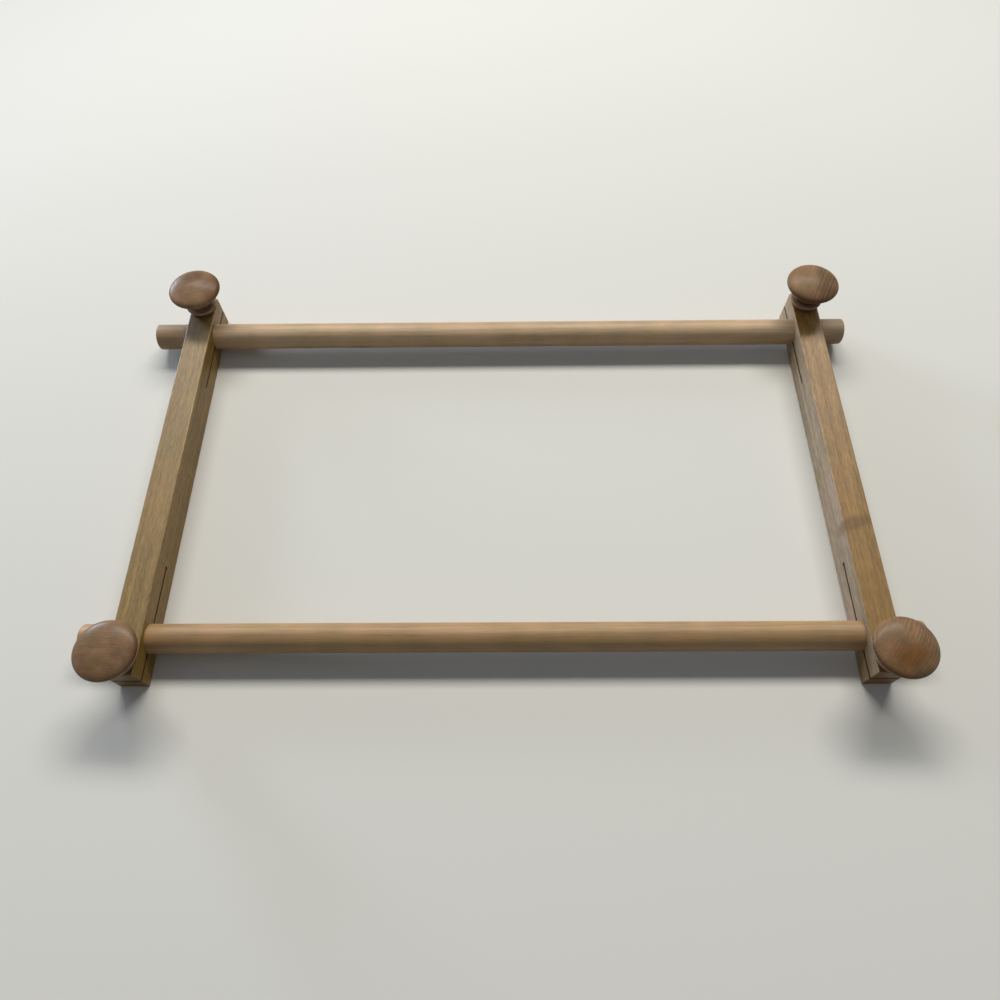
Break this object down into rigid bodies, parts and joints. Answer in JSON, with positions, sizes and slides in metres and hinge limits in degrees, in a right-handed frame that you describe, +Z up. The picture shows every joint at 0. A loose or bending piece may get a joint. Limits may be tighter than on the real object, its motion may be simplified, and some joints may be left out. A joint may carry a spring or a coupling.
{
  "type": "scroll frame",
  "caption": "Flat wooden needlework scroll frame: round rollers held in the slit ends of two side bars by turned screw-down clamp knobs.",
  "frame": {"origin": "at table level, under the middle of the rear roller and midway along the side bars", "axes": "+X along the rollers to the right side bar, +Y from the front roller to the rear one, +Z up through the knobs"},
  "size_m": [0.534, 0.3238, 0.0504],
  "materials": {
    "bar_wood": "sanded bare maple, satin",
    "roller_wood": "sanded bare birch dowel, satin",
    "knob_wood": "turned and waxed beech, satin",
    "insert_brass": "machined",
    "bolt_steel": "bright zinc plate"
  },
  "bodies": {
    "left_bar": {"left_side_bar": "bar_wood", "front_left_bolt": "bolt_steel", "rear_left_bolt": "bolt_steel"},
    "right_bar": {"right_side_bar": "bar_wood", "front_right_bolt": "bolt_steel", "rear_right_bolt": "bolt_steel"},
    "front_roller": {"front_roller": "roller_wood"},
    "rear_roller": {"rear_roller": "roller_wood"},
    "front_left_insert": {"front_left_insert": "insert_brass"},
    "front_left_knob": {"front_left_knob": "knob_wood"},
    "rear_left_insert": {"rear_left_insert": "insert_brass"},
    "rear_left_knob": {"rear_left_knob": "knob_wood"},
    "front_right_insert": {"front_right_insert": "insert_brass"},
    "front_right_knob": {"front_right_knob": "knob_wood"},
    "rear_right_insert": {"rear_right_insert": "insert_brass"},
    "rear_right_knob": {"rear_right_knob": "knob_wood"}
  },
  "joints": [
    {"name": "right_bar_slide", "type": "slide", "parent": "left_bar", "child": "right_bar", "axis": [1, 0, 0], "range_m": [-0.42, 0.0193]},
    {"name": "front_roller_turn", "type": "hinge", "parent": "left_bar", "child": "front_roller", "pos_m": [-0.2318, -0.1248, 0.0127], "axis": [1, 0, 0], "continuous": true},
    {"name": "rear_roller_turn", "type": "hinge", "parent": "left_bar", "child": "rear_roller", "pos_m": [-0.2318, 0.1248, 0.0127], "axis": [1, 0, 0], "continuous": true},
    {"name": "front_left_insert_lift", "type": "slide", "parent": "left_bar", "child": "front_left_insert", "axis": [0, 0, 1], "range_m": [0, 0.00381]},
    {"name": "front_left_knob_turn", "type": "hinge", "parent": "front_left_insert", "child": "front_left_knob", "pos_m": [-0.2318, -0.1429, 0.0254], "axis": [0, 0, 1], "range_deg": [0, 1080]},
    {"name": "rear_left_insert_lift", "type": "slide", "parent": "left_bar", "child": "rear_left_insert", "axis": [0, 0, 1], "range_m": [0, 0.00381]},
    {"name": "rear_left_knob_turn", "type": "hinge", "parent": "rear_left_insert", "child": "rear_left_knob", "pos_m": [-0.2318, 0.1429, 0.0254], "axis": [0, 0, 1], "range_deg": [0, 1080]},
    {"name": "front_right_insert_lift", "type": "slide", "parent": "right_bar", "child": "front_right_insert", "axis": [0, 0, 1], "range_m": [0, 0.00381]},
    {"name": "front_right_knob_turn", "type": "hinge", "parent": "front_right_insert", "child": "front_right_knob", "pos_m": [0.2382, -0.1429, 0.0254], "axis": [0, 0, 1], "range_deg": [0, 1080]},
    {"name": "rear_right_insert_lift", "type": "slide", "parent": "right_bar", "child": "rear_right_insert", "axis": [0, 0, 1], "range_m": [0, 0.00381]},
    {"name": "rear_right_knob_turn", "type": "hinge", "parent": "rear_right_insert", "child": "rear_right_knob", "pos_m": [0.2382, 0.1429, 0.0254], "axis": [0, 0, 1], "range_deg": [0, 1080]}
  ],
  "couplings": [
    {"joint": "front_left_insert_lift", "follows": "front_left_knob_turn", "m_per_rad": 0.00020213},
    {"joint": "rear_left_insert_lift", "follows": "rear_left_knob_turn", "m_per_rad": 0.00020213},
    {"joint": "front_right_insert_lift", "follows": "front_right_knob_turn", "m_per_rad": 0.00020213},
    {"joint": "rear_right_insert_lift", "follows": "rear_right_knob_turn", "m_per_rad": 0.00020213}
  ]
}
